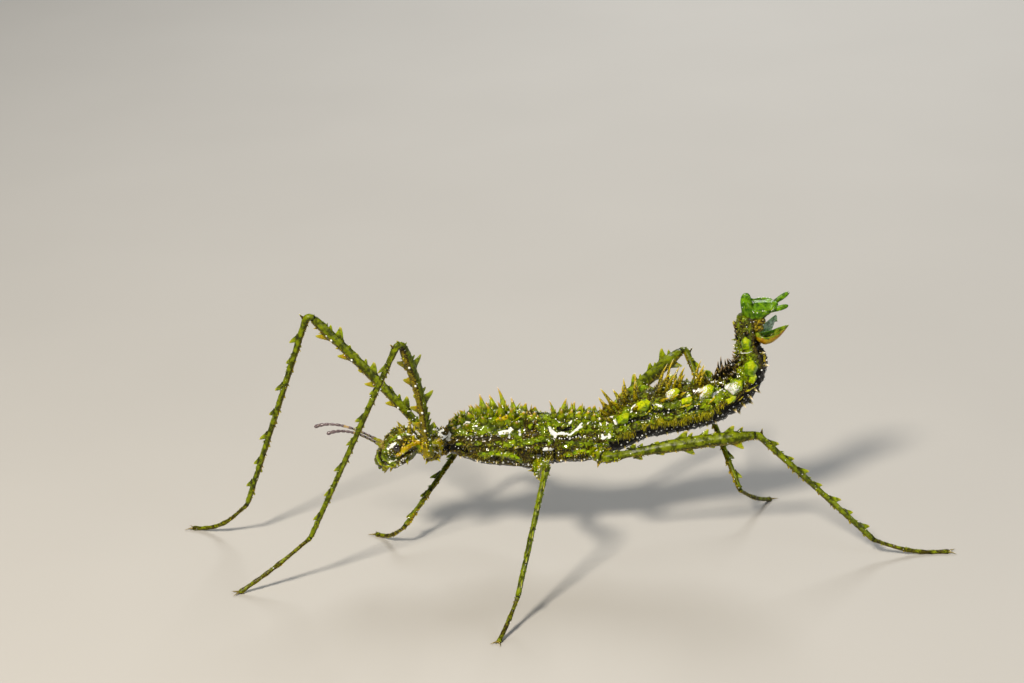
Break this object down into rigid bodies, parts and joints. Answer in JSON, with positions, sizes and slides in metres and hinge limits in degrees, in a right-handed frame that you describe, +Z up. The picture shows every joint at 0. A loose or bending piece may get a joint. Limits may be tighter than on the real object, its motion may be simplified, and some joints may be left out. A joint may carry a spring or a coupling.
{
  "type": "moss-mimic stick insect",
  "caption": "Slender stick insect standing on long bent legs, with a spiny hump, spiny curled-up abdomen, lobed legs and short beaded antennae.",
  "frame": {"origin": "on the floor, at the middle of the bounding box seen from above", "axes": "+Z up, head towards -X, the animal's left side towards -Y"},
  "size_m": [0.1186, 0.0516, 0.0398],
  "materials": {
    "head": "wet gloss",
    "trunk": "wet gloss",
    "abdomen": "wet gloss",
    "coxa": "satin",
    "leg": "satin",
    "tarsus": "satin",
    "feeler": "satin",
    "eye": "gloss",
    "tail": "wet gloss",
    "operculum": "wet gloss",
    "mouth": "satin"
  },
  "bodies": {
    "root": {"head": "head", "mouthparts": "mouth", "eye_left": "eye", "eye_right": "eye", "antenna_left_base": "feeler", "antenna_left_tip": "feeler", "antenna_right_base": "feeler", "antenna_right_tip": "feeler", "prothorax": "trunk", "mesothorax": "trunk", "metathorax": "trunk", "abdomen_1": "abdomen", "abdomen_2": "abdomen", "abdomen_3": "abdomen", "abdomen_4": "abdomen", "abdomen_5": "abdomen", "abdomen_6": "abdomen", "tail_lobes": "tail", "operculum": "operculum", "coxa_fore_left": "coxa", "femur_fore_left": "leg", "tibia_fore_left": "leg", "tarsus_fore_left": "tarsus", "coxa_fore_right": "coxa", "femur_fore_right": "leg", "tibia_fore_right": "leg", "tarsus_fore_right": "tarsus", "coxa_mid_left": "coxa", "femur_mid_left": "leg", "tibia_mid_left": "leg", "tarsus_mid_left": "tarsus", "coxa_mid_right": "coxa", "femur_mid_right": "leg", "tibia_mid_right": "leg", "tarsus_mid_right": "tarsus", "coxa_hind_left": "coxa", "femur_hind_left": "leg", "tibia_hind_left": "leg", "tarsus_hind_left": "tarsus", "coxa_hind_right": "coxa", "femur_hind_right": "leg", "tibia_hind_right": "leg", "tarsus_hind_right": "tarsus"}
  },
  "joints": []
}
